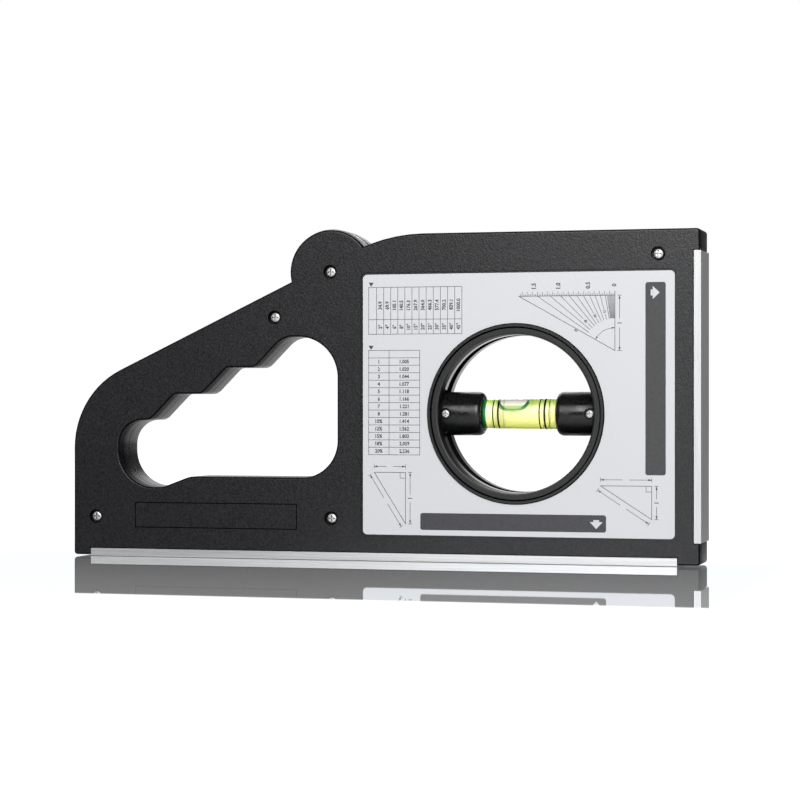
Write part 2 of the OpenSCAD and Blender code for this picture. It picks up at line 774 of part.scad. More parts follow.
// Half of the space round the ring, cut where its two halves meet
module ring_space(y0, y1) {
    bar(flange_r + past, y0, y1, ring_x, ring_z);
}

module ring_screw_spots() {
    for (s = [-1, 1]) translate([ring_x + s * ring_screw_x, 0, ring_z]) children();
}

module dial_screw_spots() {
    for (a = [45:90:315])
        translate([ring_x + dial_screw_r * cos(a), 0, ring_z + dial_screw_r * sin(a)]) children();
}

// A rounded inner edge of the ring at y, going into the ring in the direction of side
function ring_lip(y, side) = [[ring_bore_r, y + side * ring_edge],
    [ring_bore_r + ring_edge * 0.3, y + side * ring_edge * 0.3], [ring_bore_r + ring_edge, y]];

module ring_rear() color([0.13, 0.13, 0.14]) difference() {
    union() {
        relief_y = -face_y + relief_depth;
        turned(concat(ring_lip(-face_y, 1), [[journal_r - face_relief, -face_y],
            [journal_r - face_relief, relief_y], [journal_r, relief_y + face_relief],
            [journal_r, vial_y], [ring_bore_r, vial_y]]), ring_x, ring_z);
        intersection() {
            sockets();
            ring_space(-face_y, vial_y);
        }
    }
    vial_bore();
    ring_screw_spots() {
        bar(ring_head_r + ring_recess_gap, -face_y - past, ring_seat_y);
        bar(ring_shank_r + screw_gap, -face_y, vial_y + past);
    }
}

module ring_front() color([0.13, 0.13, 0.14]) difference() {
    union() {
        lip = ring_edge * 0.6;
        turned(concat([[ring_bore_r, vial_y], [flange_r, vial_y], [flange_r, dial_back_y],
            [journal_r, dial_back_y], [journal_r, face_y - lip], [journal_r - lip, face_y]],
            reversed(ring_lip(face_y, -1))), ring_x, ring_z);
        intersection() {
            sockets();
            ring_space(vial_y, face_y);
        }
    }
    vial_bore();
    ring_screw_spots() bar(ring_shank_r + fit, vial_y - past, ring_seat_y + ring_screw_len + screw_gap);
    dial_screw_spots() {
        bar(dial_head_r + fit, vial_y - past, dial_seat_y);
        bar(dial_shank_r + fit, vial_y, dial_back_y + past);
    }
}

module toothed_dial() color([0.95, 0.95, 0.93]) difference() {
    gear(dial_teeth, journal_r + fit, ring_x, ring_z, axis_angle);
    dial_screw_spots() bar(dial_shank_r + fit, dial_back_y - past, dial_face_y - dial_screw_stop);
}

module dial_screws() color([0.75, 0.76, 0.78]) {
    dial_screw_spots() translate([0, dial_seat_y, 0])
        pan_screw(dial_head_r, dial_head_h, dial_shank_r,
            dial_face_y - dial_screw_stop - screw_gap - dial_seat_y);
}

module ring_screws() color([0.75, 0.76, 0.78]) {
    ring_screw_spots() translate([0, ring_seat_y, 0])
        pan_screw(ring_head_r, ring_head_h, ring_shank_r, ring_screw_len);
}

// ---------- Vial ----------
module vial_tube() color([0.8, 0.95, 0.5, 0.4]) translate([ring_x, vial_y, ring_z]) difference() {
    cross_bar(vial_r, -vial_len / 2, vial_len / 2);
    cross_bar(vial_r - vial_wall, -vial_len / 2 - past, vial_len / 2 + past);
}

module vial_liquid() color([0.75, 0.95, 0.2, 0.6]) translate([ring_x, vial_y, ring_z]) difference() {
    half = bubble_len / 2 - bubble_r;
    cross_bar(vial_r - vial_wall, -liquid_half, liquid_half);
    translate([-bubble_shift, 0, vial_r - vial_wall - bubble_r * 0.35]) {
        cross_bar(bubble_r, -half, half);
        for (s = [-1, 1]) translate([s * half, 0, 0]) sphere(bubble_r);
    }
}

module vial_plugs() color([0.15, 0.5, 0.2]) for (s = [0, 180])
    translate([ring_x, vial_y, ring_z]) rotate([0, s, 0])
        cross_bar(vial_r - vial_wall, liquid_half, vial_len / 2 - plug_sink);

// Printed reading rings round the vial
module vial_rings() color([0.1, 0.2, 0.05]) translate([ring_x, vial_y, ring_z])
    for (s = [-1, 1], k = [0, 1]) difference() {
        x = s * (mark_x + k * mark_pitch);
        cross_bar(vial_r + mark_t, x - mark_w / 2, x + mark_w / 2);
        cross_bar(vial_r, x - mark_w, x + mark_w);
    }

// ---------- Adjusting wheel and gear train ----------
module adjusting_wheel() color([0.75, 0.76, 0.77]) difference() {
    mid_y = (wheel_y0 + wheel_y1) / 2 - groove_shift;
    floor_r = wheel_r - groove_depth;
    turned([[sleeve_r + fit, hub_y0], [hub_r, hub_y0], [hub_r, web_y],
        [wheel_r - rim_w, web_y], [wheel_r - rim_w, wheel_y0], [wheel_r - wheel_edge, wheel_y0],
        [wheel_r, wheel_y0 + wheel_edge], [wheel_r, mid_y - groove_w / 2],
        [floor_r, mid_y - groove_w / 2 + groove_flank], [floor_r, mid_y + groove_w / 2 - groove_flank],
        [wheel_r, mid_y + groove_w / 2], [wheel_r, wheel_y1 - wheel_edge], [wheel_r - wheel_edge, wheel_y1],
        [sleeve_r + fit, wheel_y1]], wheel_x, wheel_z);
    for (i = [0:grip_count - 1]) translate([wheel_x, 0, wheel_z])
        rotate([0, 360 * (i + 0.3) / grip_count, 0])
            translate([wheel_r - groove_depth, wheel_y1 - grip_len, -grip_w / 2])
                cube([rim_w, grip_len + past, grip_w]);
}

module wheel_pinion() color([0.92, 0.92, 0.9]) {
    gear(pinion_teeth, sleeve_r + fit, wheel_x, wheel_z, axis_angle + 180,
        hub_r, dial_back_y - wheel_y1);
}

// Distance sleeve that the wheel turns on, between the bosses of the two shells
module wheel_sleeve() color([0.8, 0.68, 0.35]) {
    tube(sleeve_r, shank_r + screw_gap, sleeve_y0, sleeve_y1, wheel_x, wheel_z);
}

module wheel_washers() color([0.7, 0.7, 0.72]) {
    tube(washer_r, sleeve_r + fit, sleeve_y0, sleeve_y0 + washer_t, wheel_x, wheel_z);
    tube(washer_r, sleeve_r + fit, sleeve_y1 - washer_t, sleeve_y1, wheel_x, wheel_z);
}

module idler_gear() color([0.92, 0.92, 0.9]) {
    gear(idler_teeth, pin_r + fit, idler_x, idler_z, axis_angle + 180 + 180 / idler_teeth,
        idler_hub_r, idler_hub_len);
}

module idler_pin() color([0.7, 0.7, 0.72]) {
    bar(pin_r, pin_y0, face_y - blind, idler_x, idler_z);
}

// Open retaining clip on the pin, behind the idler's hub
module idler_clip() color([0.5, 0.5, 0.52]) difference() {
    mouth_w = pin_r * 1.1;
    tube(clip_r, pin_r, clip_y1 - clip_t, clip_y1, idler_x, idler_z);
    translate([idler_x, clip_y1 - clip_t - past, idler_z - mouth_w / 2])
        cube([clip_r + past, clip_t + 2 * past, mouth_w]);
}

rear_housing();
front_housing();
base_rail();
side_rail();
table_label();
front_plate();
dial_window();
index_pointer();
case_screws();
ring_rear();
ring_front();
toothed_dial();
dial_screws();
ring_screws();
vial_tube();
vial_liquid();
vial_plugs();
vial_rings();
adjusting_wheel();
wheel_pinion();
wheel_sleeve();
wheel_washers();
idler_gear();
idler_pin();
idler_clip();
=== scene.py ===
import json
import math

import bpy
import numpy as np
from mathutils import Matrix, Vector


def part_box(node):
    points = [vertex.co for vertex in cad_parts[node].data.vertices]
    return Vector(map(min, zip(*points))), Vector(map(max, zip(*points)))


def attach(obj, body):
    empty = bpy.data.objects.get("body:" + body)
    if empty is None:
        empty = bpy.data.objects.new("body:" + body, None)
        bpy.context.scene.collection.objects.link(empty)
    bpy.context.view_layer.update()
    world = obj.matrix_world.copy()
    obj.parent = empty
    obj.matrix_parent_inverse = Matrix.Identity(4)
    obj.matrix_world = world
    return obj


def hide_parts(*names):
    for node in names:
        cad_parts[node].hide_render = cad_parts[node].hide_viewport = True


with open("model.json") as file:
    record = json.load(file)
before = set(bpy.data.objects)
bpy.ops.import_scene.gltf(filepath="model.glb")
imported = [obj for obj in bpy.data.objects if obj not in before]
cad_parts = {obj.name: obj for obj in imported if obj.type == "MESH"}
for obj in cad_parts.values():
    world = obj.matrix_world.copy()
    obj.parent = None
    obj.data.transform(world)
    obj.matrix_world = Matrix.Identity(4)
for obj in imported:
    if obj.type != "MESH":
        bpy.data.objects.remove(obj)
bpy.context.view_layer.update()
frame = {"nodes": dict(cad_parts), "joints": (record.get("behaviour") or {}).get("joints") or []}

scene = bpy.context.scene
MM = 0.001
RING = next(Vector(j["pos_m"]) for j in frame["joints"] if j["name"] == "ring_turn")
# Millimetres between the table side's face, at -FACE_Y, and the dial side's, at FACE_Y
THICK = 28
FACE_Y = THICK / 2 * MM
# How far print stands off its face, and how deep the bump of a printed or drawn surface is
FILM = FINE_BUMP = 0.03 * MM


# ---------- Node graphs ----------
class Graph:
    """A node tree that is being wired. Most methods add a node and return what comes out of it.
    A value is a number, a tuple or another node's output."""

    def __init__(self, tree):
        self.nodes, self.links = tree.nodes, tree.links

    def feed(self, socket, value):
        if isinstance(value, bpy.types.NodeSocket):
            self.links.new(value, socket)
        else:
            socket.default_value = value

    def add(self, kind, inputs, **settings):
        """A node with its settings, and its inputs by name or by number."""
        node = self.nodes.new("ShaderNode" + kind)
        for key, value in settings.items():
            setattr(node, key, value)
        for key, value in inputs.items():
            self.feed(node.inputs[key], value)
        return node

    def coordinate(self, kind, axis):
        """One axis of the Object, Generated or Normal coordinates."""
        coord = self.add("TexCoord", {})
        return self.add("SeparateXYZ", {"Vector": coord.outputs[kind]}).outputs[axis]

    def noise(self, scale, detail=2.0, stretch=(1, 1, 1), roughness=0.5):
        """A noise texture in the object's own coordinates, in metres; stretch scales each axis."""
        coord = self.add("TexCoord", {})
        place = self.add("Mapping", {"Vector": coord.outputs["Object"], "Scale": stretch})
        return self.add("TexNoise", {"Vector": place.outputs["Vector"], "Scale": scale,
                                     "Detail": detail, "Roughness": roughness}).outputs["Fac"]

    def ramp(self, value, stops):
        """A colour ramp; a stop is its place and its colour, or one number for a grey."""
        node = self.add("ValToRGB", {"Fac": value})
        items = node.color_ramp.elements
        while len(items) < len(stops):
            items.new(0.5)
        for item, (place, colour) in zip(items, stops):
            item.position = place
            item.color = (*(colour if isinstance(colour, tuple) else (colour,) * 3), 1)
        return node.outputs["Color"]

    def map_range(self, value, low, high, start=0.0, end=1.0):
        """From low to high while the value goes from start to end, and level beyond them."""
        return self.add("MapRange", {"Value": value, "From Min": start, "From Max": end,
                                     "To Min": low, "To Max": high}).outputs["Result"]

    def calc(self, operation, first, *others):
        """A sum on one value, or the product or the largest of several."""
        if not others:
            return self.add("Math", {0: first}, operation=operation).outputs["Value"]
        for other in others:
            first = self.add("Math", {0: first, 1: other}, operation=operation).outputs["Value"]
        return first

    def blend(self, factor, a, b):
        """A number between a and b."""
        return self.add("Mix", {"Factor": factor, "A": a, "B": b}).outputs["Result"]

    def mix(self, factor, a, b, mode="MIX"):
        """A colour between a and b, or with MULTIPLY, between a and their product."""
        return self.add("Mix", {"Factor": factor, "A": a, "B": b},
                        data_type="RGBA", blend_type=mode).outputs["Result"]

    def mix_shader(self, factor, a, b):
        return self.add("MixShader", {"Fac": factor, 1: a, 2: b}).outputs["Shader"]

    def facing_y(self):
        """How far the surface faces along Y: 1 on broad faces, 0 on the walls between them."""
        return self.calc("ABSOLUTE", self.coordinate("Normal", "Y"))


class Material(Graph):
    """A material whose Principled BSDF is at hand."""

    def __init__(self, name):
        self.data = bpy.data.materials.new(name)
        self.data.use_nodes = True
        super().__init__(self.data.node_tree)
        self.shader = self.nodes["Principled BSDF"]

    def set(self, values):
        for key, value in values.items():
            self.feed(self.shader.inputs[key], value)

    def bump(self, height, strength, distance):
        node = self.add("Bump", {"Height": height, "Strength": strength, "Distance": distance})
        self.set({"Normal": node.outputs["Normal"]})


def plastic(name, dark, light, grain, rough, strength, distance=0.06 * MM, sides=(0.15, 0.15)):
    """Moulded plastic with a spark-eroded grain: fine mottled colour, bump and roughness. sides
    is the specular level of the walls between the broad faces, at the table side and behind."""
    mat = Material(name)
    fine = mat.noise(grain, 3.0, roughness=0.65)
    colour = mat.ramp(fine, [(0.3, dark), (0.72, light)])
    clouds = mat.ramp(mat.noise(28.0, 2.0), [(0.35, (0.5, 0.5, 0.52)), (0.65, 1.0)])
    # Broad faces along Y shine more than the edges and the sides between them
    wall = mat.map_range(mat.coordinate("Object", "Y"), sides[0], sides[1], -8 * MM, FACE_Y)
    face = mat.map_range(mat.facing_y(), 0.0, 1.0, 0.85, 0.995)
    mat.set({"Base Color": mat.mix(0.35, colour, clouds, "MULTIPLY"),
             "Roughness": mat.map_range(fine, rough - 0.08, rough + 0.1),
             "Specular IOR Level": mat.blend(face, wall, 0.58)})
    mat.bump(fine, strength, distance)
    return mat.data


def metal(name, colour, rough, stretch, scale, strength=0.15, spread=0.06, metallic=1.0,
          rim_shade=1.0, bands=()):
    """Drawn, turned or rolled metal: fine lines that run along the least stretched axis. rim
    is painted shade: it darkens the colour of the surfaces that don't face along Y, such as the
    rounded edge of a screw's head. bands are grey levels across the piece's depth that paint
    the shade of grooves as dark lines round it."""
    mat = Material(name)
    lines = mat.noise(scale, 3.0, stretch, 0.6)
    low = tuple(c * (1 - spread * 1.6) for c in colour)
    high = tuple(min(1, c * (1 + spread)) for c in colour)
    tone = mat.ramp(lines, [(0.3, low), (0.7, high)])
    # Painted shade: the colour is darkened where the surface turns away from Y
    if rim_shade < 1:
        shade = mat.ramp(mat.facing_y(), [(0.72, rim_shade), (0.86, 1.0)])
        tone = mat.mix(1.0, tone, shade, "MULTIPLY")
    # The bands are painted shade of grooves: colour, metallic and specular level fall to nearly
    # nothing in the dark lines
    if bands:
        shade = mat.ramp(mat.coordinate("Generated", "Y"), bands)
        tone = mat.mix(1.0, tone, shade, "MULTIPLY")
        metallic = mat.map_range(shade, 0.0, metallic)
        mat.set({"Specular IOR Level": mat.map_range(shade, 0.0, 0.5)})
    mat.set({"Base Color": tone, "Metallic": metallic,
             "Roughness": mat.map_range(lines, rough - 0.06, rough + 0.08)})
    mat.bump(lines, strength, FINE_BUMP)
    return mat.data


def painted(name, colour, rough, grain=900.0, spread=0.05, strength=0.04, shine=0.5):
    """A printed or painted film with a slight unevenness."""
    mat = Material(name)
    fine = mat.noise(grain, 2.0)
    low = tuple(c * (1 - spread) for c in colour)
    high = tuple(min(1, c * (1 + spread)) for c in colour)
    mat.set({"Base Color": mat.ramp(fine, [(0.3, low), (0.7, high)]),
             "Roughness": mat.map_range(fine, rough - 0.05, rough + 0.05),
             "Specular IOR Level": shine})
    mat.bump(fine, strength, FINE_BUMP)
    return mat.data


def clear(name, colour, rough, ior):
    """Clear plastic with a few faint flow marks."""
    mat = Material(name)
    flow = mat.noise(60.0, 1.0)
    dim = tuple(c * 0.985 for c in colour)
    mat.set({"Base Color": mat.ramp(flow, [(0.3, dim), (0.7, colour)]),
             "Roughness": mat.map_range(flow, rough, rough + 0.02),
             "IOR": ior, "Transmission Weight": 1.0})
    return mat.data


def ring_plastic(name):
    """The ring's plastic: grained like the body, with a smooth band in its bore and a satin one
    at the dial side. The bands' places are millimetres behind the table side's face."""
    mat = Material(name)
    fine = mat.noise(1200.0, 3.0, roughness=0.65)
    x, y, z = (mat.coordinate("Object", axis) for axis in "XYZ")
    depth = mat.map_range(y, 0.0, 1.0, -FACE_Y, FACE_Y)
    smooth = mat.ramp(depth, [(place / THICK, level) for place, level in (
        (6.9, 0.0), (7.3, 1.0), (11.4, 1.0), (11.8, 0.0), (20.8, 0.0), (21.4, 0.6))])
    gloss = mat.ramp(depth, [(place / THICK, level) for place, level in (
        (1.2, 0.5), (1.6, 0.06), (6.9, 0.06), (7.3, 1.0),
        (11.4, 1.0), (11.8, 0.0), (20.8, 0.0), (21.4, 0.5))])
    # The sockets, which stand inside the bore, are smooth all over, with worn patches
    flat = mat.add("CombineXYZ", {"X": x, "Z": z})
    apart = mat.add("VectorMath", {0: flat.outputs["Vector"], 1: (RING.x, 0, RING.z)},
                    operation="DISTANCE")
    socket = mat.map_range(apart.outputs["Value"], 1.0, 0.0, 37.5 * MM, 38.5 * MM)
    rough = mat.blend(smooth, mat.map_range(fine, 0.38, 0.56), 0.06)
    worn = mat.map_range(mat.noise(140.0, 3.0), 0.14, 0.42, 0.4, 0.62)
    # A streak of light above the sockets' middle; they are dull above and below it
    upright = mat.map_range(mat.coordinate("Normal", "Z"), 0.0, 1.0, -1.0, 1.0)
    shine = mat.ramp(upright, [(up / 2 + 0.5, level) for up, level in (
        (-0.55, 0.05), (-0.35, 0.3), (0.0, 0.5), (0.12, 0.75), (0.28, 0.7), (0.42, 0.05))])
    mat.set({"Base Color": mat.ramp(fine, [(0.3, (0.0005, 0.0005, 0.0007)),
                                           (0.72, (0.018, 0.0185, 0.019))]),
             "Roughness": mat.blend(socket, rough, worn),
             "Specular IOR Level": mat.blend(socket, gloss, shine)})
    grain = mat.blend(socket, mat.map_range(smooth, 1.0, 0.05), 0.01)
    mat.bump(mat.calc("MULTIPLY", fine, grain), 0.7, 0.1 * MM)
    return mat.data


# ---------- Materials ----------
BLACK = plastic("black_grained_plastic", (0.0002, 0.0002, 0.0005), (0.019, 0.0195, 0.024), 950,
                0.34, 0.8, 0.12 * MM, sides=(0.01, 0.4))
RING_BLACK = ring_plastic("ring_banded_plastic")
RAIL_X = metal("rail_extruded_lengthwise", (0.84, 0.845, 0.85), 0.38, (0.012, 1, 1), 2600, 0.2,
               metallic=0.85)
RAIL_Z = metal("side_rail_extruded_lengthwise", (0.72, 0.725, 0.73), 0.38, (1, 1, 0.012), 2600,
               0.2, metallic=0.45)
LABEL = painted("label_silver_film", (0.77, 0.785, 0.815), 0.38, 1500, 0.02, 0.05)
INK = painted("label_dark_ink", (0.055, 0.055, 0.06), 0.45, spread=0.12)
PALE_INK = painted("label_grey_ink", (0.09, 0.09, 0.1), 0.45, spread=0.12)
WINDOW = clear("window_clear_plastic", (0.97, 0.985, 0.99), 0.01, 1.2)
RED = painted("pointer_red_paint", (0.62, 0.03, 0.02), 0.35)
# Bright screws; rim paints shade on their heads' rounded edges
SCREW = metal("screw_bright_plating", (0.84, 0.84, 0.83), 0.4, (1, 1, 1), 1800, 0.12,
              metallic=0.6, rim_shade=0.12)
DIAL = painted("dial_white_moulding", (0.84, 0.84, 0.82), 0.45, spread=0.015)
# Two dark lines of painted groove shade run round the wheel's rim, given by the bands
WHEEL_METAL = metal(
    "wheel_turned_aluminium", (0.42, 0.425, 0.43), 0.5, (0.02, 1, 0.02), 1600, 0.1, spread=0.3,
    metallic=0.35, bands=[(0.49, 1.0), (0.51, 0.03), (0.58, 0.03), (0.6, 0.5),
                          (0.63, 0.5), (0.65, 0.03), (0.71, 0.03), (0.73, 1.0)])
GEAR = plastic("gear_natural_nylon", (0.74, 0.73, 0.69), (0.84, 0.83, 0.79), 900, 0.5, 0.08)
BRASS = metal("sleeve_turned_brass", (0.78, 0.6, 0.28), 0.28, (1, 0.2, 1), 2400, 0.15)
STEEL = metal("pin_bright_steel", (0.66, 0.67, 0.68), 0.25, (1, 0.2, 1), 2400, 0.12)
PLUG = plastic("plug_green_moulding", (0.004, 0.1, 0.02), (0.008, 0.16, 0.035), 700, 0.4, 0.05)
MARK = painted("vial_ring_ink", (0.006, 0.008, 0.002), 0.5, spread=0.2, shine=0.0)
GROOVE = painted("groove_shadow_black", (0.002, 0.002, 0.0025), 0.7, spread=0.3, shine=0.0)

NODE_MATERIALS = {
    "rear_housing": BLACK, "front_housing": BLACK, "base_rail": RAIL_X, "side_rail": RAIL_Z,
    "table_label": LABEL, "front_plate": LABEL, "dial_window": WINDOW, "index_pointer": RED,
    "case_screws": SCREW, "ring_rear": RING_BLACK, "ring_front": RING_BLACK,
    "toothed_dial": DIAL, "dial_screws": SCREW, "ring_screws": SCREW, "vial_plugs": PLUG,
    "vial_rings": MARK, "adjusting_wheel": WHEEL_METAL, "wheel_pinion": GEAR,
    "wheel_sleeve": BRASS, "wheel_washers": STEEL, "idler_gear": GEAR, "idler_pin": STEEL,
    "idler_clip": STEEL, "vial_tube": WINDOW, "vial_liquid": WINDOW,
}

# How finely soften() tells directions, the planes' offsets and corners apart, in steps to a unit,
# and how many pairs of faces it weighs at once
DIRECTION_STEPS, OFFSET_STEPS, SPOT_STEPS, AT_ONCE = 400, 20 / MM, 1000 / MM, 2000000
TINY = 1e-12


def soften(mesh, limit=35.0):
    """Smooth shading that keeps flat faces flat: each corner's normal is the mean of the faces
    around it within the limit, weighted by how large their planes are."""
    def read(items, key, width=1, kind=float):
        values = np.empty(len(items) * width, dtype=kind)
        items.foreach_get(key, values)
        return values.reshape(-1, width) if width > 1 else values

    co = read(mesh.vertices, "co", 3)
    loops = read(mesh.loops, "vertex_index", kind=np.int64)
    sizes = read(mesh.polygons, "loop_total", kind=np.int64)
    normals = read(mesh.polygons, "normal", 3)
    face_of = np.repeat(np.arange(len(sizes)), sizes)

    # Faces in one plane share the area of them all as their weight
    first = loops[np.concatenate([[0], np.cumsum(sizes)[:-1]])]
    offset = (co[first] * normals).sum(1)
    plane = np.column_stack([np.round(normals * DIRECTION_STEPS),
                             np.round(offset * OFFSET_STEPS)]).astype(np.int64)
    _, plane_of = np.unique(plane, axis=0, return_inverse=True)
    areas = read(mesh.polygons, "area")
    weight = np.bincount(plane_of.ravel(), weights=areas)[plane_of.ravel()]

    # Corners at one spot, in groups of one size
    _, spot = np.unique(np.round(co * SPOT_STEPS).astype(np.int64), axis=0, return_inverse=True)
    spot = spot.ravel()[loops]
    order = np.argsort(spot, kind="stable")
    _, starts, counts = np.unique(spot[order], return_index=True, return_counts=True)
    result = np.empty((len(loops), 3))
    cos_limit = math.cos(math.radians(limit))
    for size in np.unique(counts):
        group = starts[counts == size][:, None] + np.arange(size)
        for part in np.array_split(group, max(1, group.size * size // AT_ONCE)):
            corner = order[part]
            n = normals[face_of[corner]]
            w = weight[face_of[corner]] + TINY
            near = np.einsum("gik,gjk->gij", n, n) > cos_limit
            mean = np.einsum("gij,gjk->gik", near * w[:, None, :], n)
            length = np.linalg.norm(mean, axis=2, keepdims=True)
            mean = np.where(length > TINY, mean / np.maximum(length, TINY), n)
            result[corner.ravel()] = mean.reshape(-1, 3)
    mesh.polygons.foreach_set("use_smooth", np.ones(len(sizes), dtype=bool))
    mesh.normals_split_custom_set(result.tolist())


for node_name, node_material in NODE_MATERIALS.items():
    cad_mesh = frame["nodes"][node_name].data
    cad_mesh.materials.clear()
    cad_mesh.materials.append(node_material)
    soften(cad_mesh)


# ---------- Pieces of the scene's own ----------
def add_mesh(name, verts, faces, material):
    mesh = bpy.data.meshes.new(name)
    mesh.from_pydata(verts, [], faces)
    mesh.materials.append(material)
    piece = bpy.data.objects.new(name, mesh)
    scene.collection.objects.link(piece)
    return piece


def turned(x, z, angle):
    """A point turned about the origin, in degrees."""
    c, s = math.cos(math.radians(angle)), math.sin(math.radians(angle))
    return x * c - z * s, x * s + z * c


def on_circle(centre, radius, angle):
    angle = math.radians(angle)
    return centre[0] + radius * math.cos(angle), centre[1] + radius * math.sin(angle)


# A digit's height in the font, and how much narrower and bolder the instrument's digits are
DIGIT_HEIGHT, DIGIT_NARROW, DIGIT_WEIGHT = 0.7, 0.92, 0.032


class Print:
    """Thin print on a face: convex polygons and numbers, in millimetres from the ring's axis.
    side is -1 on the table side and 1 on the dial side, where right and left change places."""

    def __init__(self, y, side):
        self.y, self.side, self.verts, self.faces = y, side, [], []

    def place(self, x, z):
        self.verts.append((RING.x - self.side * x * MM, self.y, RING.z + z * MM))

    def polygon(self, points):
        start = len(self.verts)
        for x, z in points:
            self.place(x, z)
        self.faces.append(tuple(range(start, start + len(points))))

    def line(self, a, b, width=0.24):
        d = (Vector(b) - Vector(a)).normalized() * width / 2
        s = Vector((-d.y, d.x))
        a, b = Vector(a) - d, Vector(b) + d
        self.polygon([a - s, b - s, b + s, a + s])

    def path(self, points, width=0.24):
        for a, b in zip(points, points[1:]):
            self.line(a, b, width)

    def turned_polygon(self, points, place, angle):
        """A polygon given about the origin, turned and then moved to its place."""
        self.polygon([(place[0] + x, place[1] + z)
                      for x, z in (turned(*point, angle) for point in points)])

    def arrow(self, tip, angle, size=1.7):
        """An arrow head whose tip points to angle."""
        half = size * 0.3
        self.turned_polygon([(0, 0), (-size, half), (-size, -half)], tip, angle)

    def arc(self, centre, radius, start, end, width, steps=12):
        self.path([on_circle(centre, radius, start + (end - start) * k / steps)
                   for k in range(steps + 1)], width)

    def bar(self, x0, z0, x1, z1, r):
        """A filled rectangle with rounded corners."""
        points = []
        for cx, cz, turn in ((x1 - r, z1 - r, 0), (x0 + r, z1 - r, 90),
                             (x0 + r, z0 + r, 180), (x1 - r, z0 + r, 270)):
            points += [on_circle((cx, cz), r, turn + a) for a in range(0, 91, 15)]
        self.polygon(points)

    def number(self, text, x, z, height, turn=0):
        """A plain number with its middle at x, z; height is the height of its digits."""
        curve = bpy.data.curves.new("digits", "FONT")
        curve.body = text
        curve.size = 1.0
        curve.resolution_u = 2
        curve.offset = DIGIT_WEIGHT
        holder = bpy.data.objects.new("digits", curve)
        mesh = holder.to_mesh()
        points = [Vector((v.co.x, v.co.y)) for v in mesh.vertices]
        low = Vector((min(p.x for p in points), min(p.y for p in points)))
        high = Vector((max(p.x for p in points), max(p.y for p in points)))
        middle, scale = (low + high) / 2, height / DIGIT_HEIGHT
        start = len(self.verts)
        for p in points:
            u, v = turned((p.x - middle.x) * scale * DIGIT_NARROW, (p.y - middle.y) * scale, turn)
            self.place(x + u, z + v)
        self.faces += [tuple(start + k for k in f.vertices) for f in mesh.polygons]
        holder.to_mesh_clear()
        bpy.data.objects.remove(holder)
        bpy.data.curves.remove(curve)

    def build(self, name, mat, body):
        piece = add_mesh(name, self.verts, self.faces, mat)
        mesh = piece.data
        backwards = [face for face in mesh.polygons if face.normal.y * self.side < 0]
        for face in backwards:
            face.flip()
        mesh.update()
        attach(piece, body)


# ---------- Print on the table side ----------
label_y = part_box("table_label")[0][1] - FILM
ink = Print(label_y, -1)
pale = Print(label_y, -1)
# Widths of the tables' lines, of the drawings' outlines and of the scale's divisions
TABLE_PEN, OUTLINE_PEN, SCALE_PEN = 0.26, 0.28, 0.22

# Table of heights over a metre: a narrow first column, then one column for each angle
angles = [2, 4, 6, 8, 10, 15, 20, 25, 30, 35, 40, 45]
left, first, right, top, middle, low = -75.6, -71.4, -27.1, 63.7, 47.5, 40.1
column, digits = (right - first) / len(angles), 1.85
for z in (top, middle, low):
    pale.line((left, z), (right, z), TABLE_PEN)
for x in [left] + [first + column * k for k in range(len(angles) + 1)]:
    pale.line((x, top), (x, low), TABLE_PEN)
for k, angle in enumerate(angles):
    x = first + column * (k + 0.5)
    ink.number("%d°" % angle, x, (middle + low) / 2, digits, 90)
    metre_height = 1000 * math.tan(math.radians(angle))
    ink.number("%.1f" % metre_height, x, (top + middle) / 2 - 1, digits, 90)

# Table of slope lengths: a header, then one row for each slope
slopes = [1, 2, 3, 4, 5, 6, 7, 8, 10, 12, 15, 18, 20]
left, middle, right, top, low = -75.6, -64.9, -48.9, 31.9, -20.7
row, digits = (top - low) / (len(slopes) + 1), 1.8
for k in range(len(slopes) + 2):
    pale.line((left, top - row * k), (right, top - row * k), TABLE_PEN)
for x in (left, middle, right):
    pale.line((x, top), (x, low), TABLE_PEN)
for k, slope in enumerate(slopes):
    z = top - row * (k + 1.5)
    ink.number("%d" % slope if slope < 9 else "%d%%" % slope, (left + middle) / 2, z, digits)
    ink.number("%.3f" % math.hypot(1, slope / 10), (middle + right) / 2, z, digits)

# Marks over the two tables
for z in (66.1, 34.2):
    ink.polygon([(left, z + 0.1), (left + 1.3, z - 2.0), (left + 2.6, z + 0.1)])


def dimension(p, q, away, gap=1.9, tick=0.9):
    """A dimension line away from the side p to q, with arrows and a tick at its ends. Gives the
    middle of the gap that is left for its number."""
    d = (Vector(q) - Vector(p)).normalized()
    n = Vector((-d.y, d.x)) * away
    p, q = Vector(p) + n, Vector(q) + n
    centre, d_gap, n_tick = (p + q) / 2, d * gap, n.normalized() * tick
    ink.line(p, centre - d_gap)
    ink.line(centre + d_gap, q)
    angle = math.degrees(math.atan2(d.y, d.x))
    ink.arrow(p, angle + 180)
    ink.arrow(q, angle)
    for end in (p, q):
        ink.line(end - n_tick, end + n_tick)
    return centre


def triangle(a, b, c, square=2.8):
    """A right triangle with its right angle at b, a small square there and dimension lines."""
    ink.path([a, b, c, a], OUTLINE_PEN)
    ink.path([(b[0] - square, b[1]), (b[0] - square, b[1] - square), (b[0], b[1] - square)])
    dimension(a, b, 3.0)
    upright = dimension(b, c, 2.4)
    dimension(c, a, 2.6)
    ink.number("1", upright.x, upright.y, 2.0, 90)


triangle((-72.6, -29.6), (-56.3, -29.6), (-56.3, -55.4))
triangle((43.1, -35.3), (68.5, -35.3), (68.5, -51.6))

